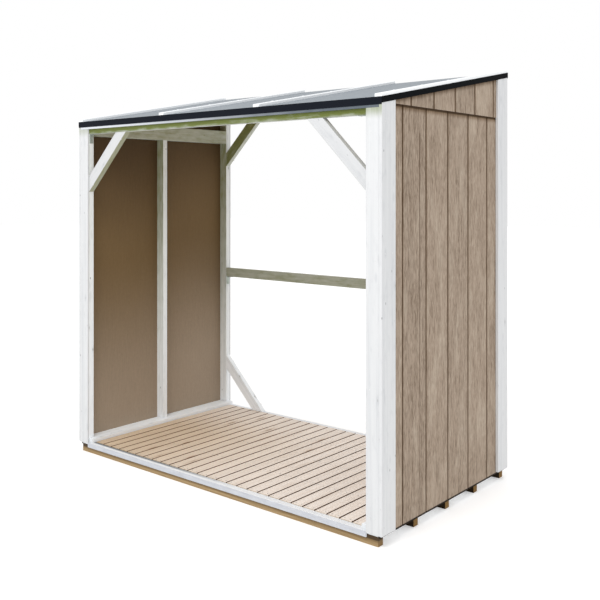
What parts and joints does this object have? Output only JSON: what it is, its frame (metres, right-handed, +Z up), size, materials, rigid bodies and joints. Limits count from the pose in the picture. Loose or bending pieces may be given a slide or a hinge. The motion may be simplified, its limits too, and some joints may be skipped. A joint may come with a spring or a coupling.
{
  "type": "log store",
  "caption": "Lean-to log store with a slatted floor, grooved side walls, white painted frame and corner boards, braced open front and back, and a ribbed roof that rises to the back.",
  "frame": {"origin": "middle of the footprint at ground level, under the bearers", "axes": "+X to the right across the width, +Y from the open front to the back, +Z up"},
  "size_m": [2.204, 1.22, 2.226],
  "materials": {
    "bearer_wood": "pressure-treated softwood, sawn",
    "floor_wood": "planed softwood boards, clear",
    "painted_wood": "white paint over knotty softwood, matte",
    "cladding": "grooved woodgrain sheet, beige brown, matte",
    "roof_deck": "bare boarding",
    "roof_sheet": "blue-grey sheet, satin",
    "roof_rib": "light capping, satin",
    "edge_trim": "dark navy folded metal, satin",
    "bracket_steel": "galvanized"
  },
  "bodies": {
    "root": {"bearer_1": "bearer_wood", "bearer_2": "bearer_wood", "bearer_3": "bearer_wood", "bearer_4": "bearer_wood", "bearer_5": "bearer_wood", "floor_boards": "floor_wood", "front_sill": "painted_wood", "rear_sill": "painted_wood", "left_sole_plate": "painted_wood", "left_front_stud": "painted_wood", "left_mid_stud": "painted_wood", "left_rear_stud": "painted_wood", "left_top_rail": "painted_wood", "right_sole_plate": "painted_wood", "right_front_stud": "painted_wood", "right_mid_stud": "painted_wood", "right_rear_stud": "painted_wood", "right_top_rail": "painted_wood", "left_cladding": "cladding", "left_gable_cladding": "cladding", "right_cladding": "cladding", "right_gable_cladding": "cladding", "front_face_boards": "painted_wood", "rear_face_boards": "painted_wood", "left_side_boards": "painted_wood", "right_side_boards": "painted_wood", "front_beam": "painted_wood", "rear_beam": "painted_wood", "rear_mid_rail": "painted_wood", "front_left_brace": "painted_wood", "front_right_brace": "painted_wood", "rear_left_upper_brace": "painted_wood", "rear_right_upper_brace": "painted_wood", "rear_left_lower_brace": "painted_wood", "rear_right_lower_brace": "painted_wood", "front_fascia": "painted_wood", "rear_fascia": "painted_wood", "roof_deck": "roof_deck", "roof_sheet": "roof_sheet", "roof_ribs": "roof_rib", "front_drip_edge": "edge_trim", "rear_drip_edge": "edge_trim", "verge_trims": "edge_trim", "angle_brackets": "bracket_steel"}
  },
  "joints": []
}
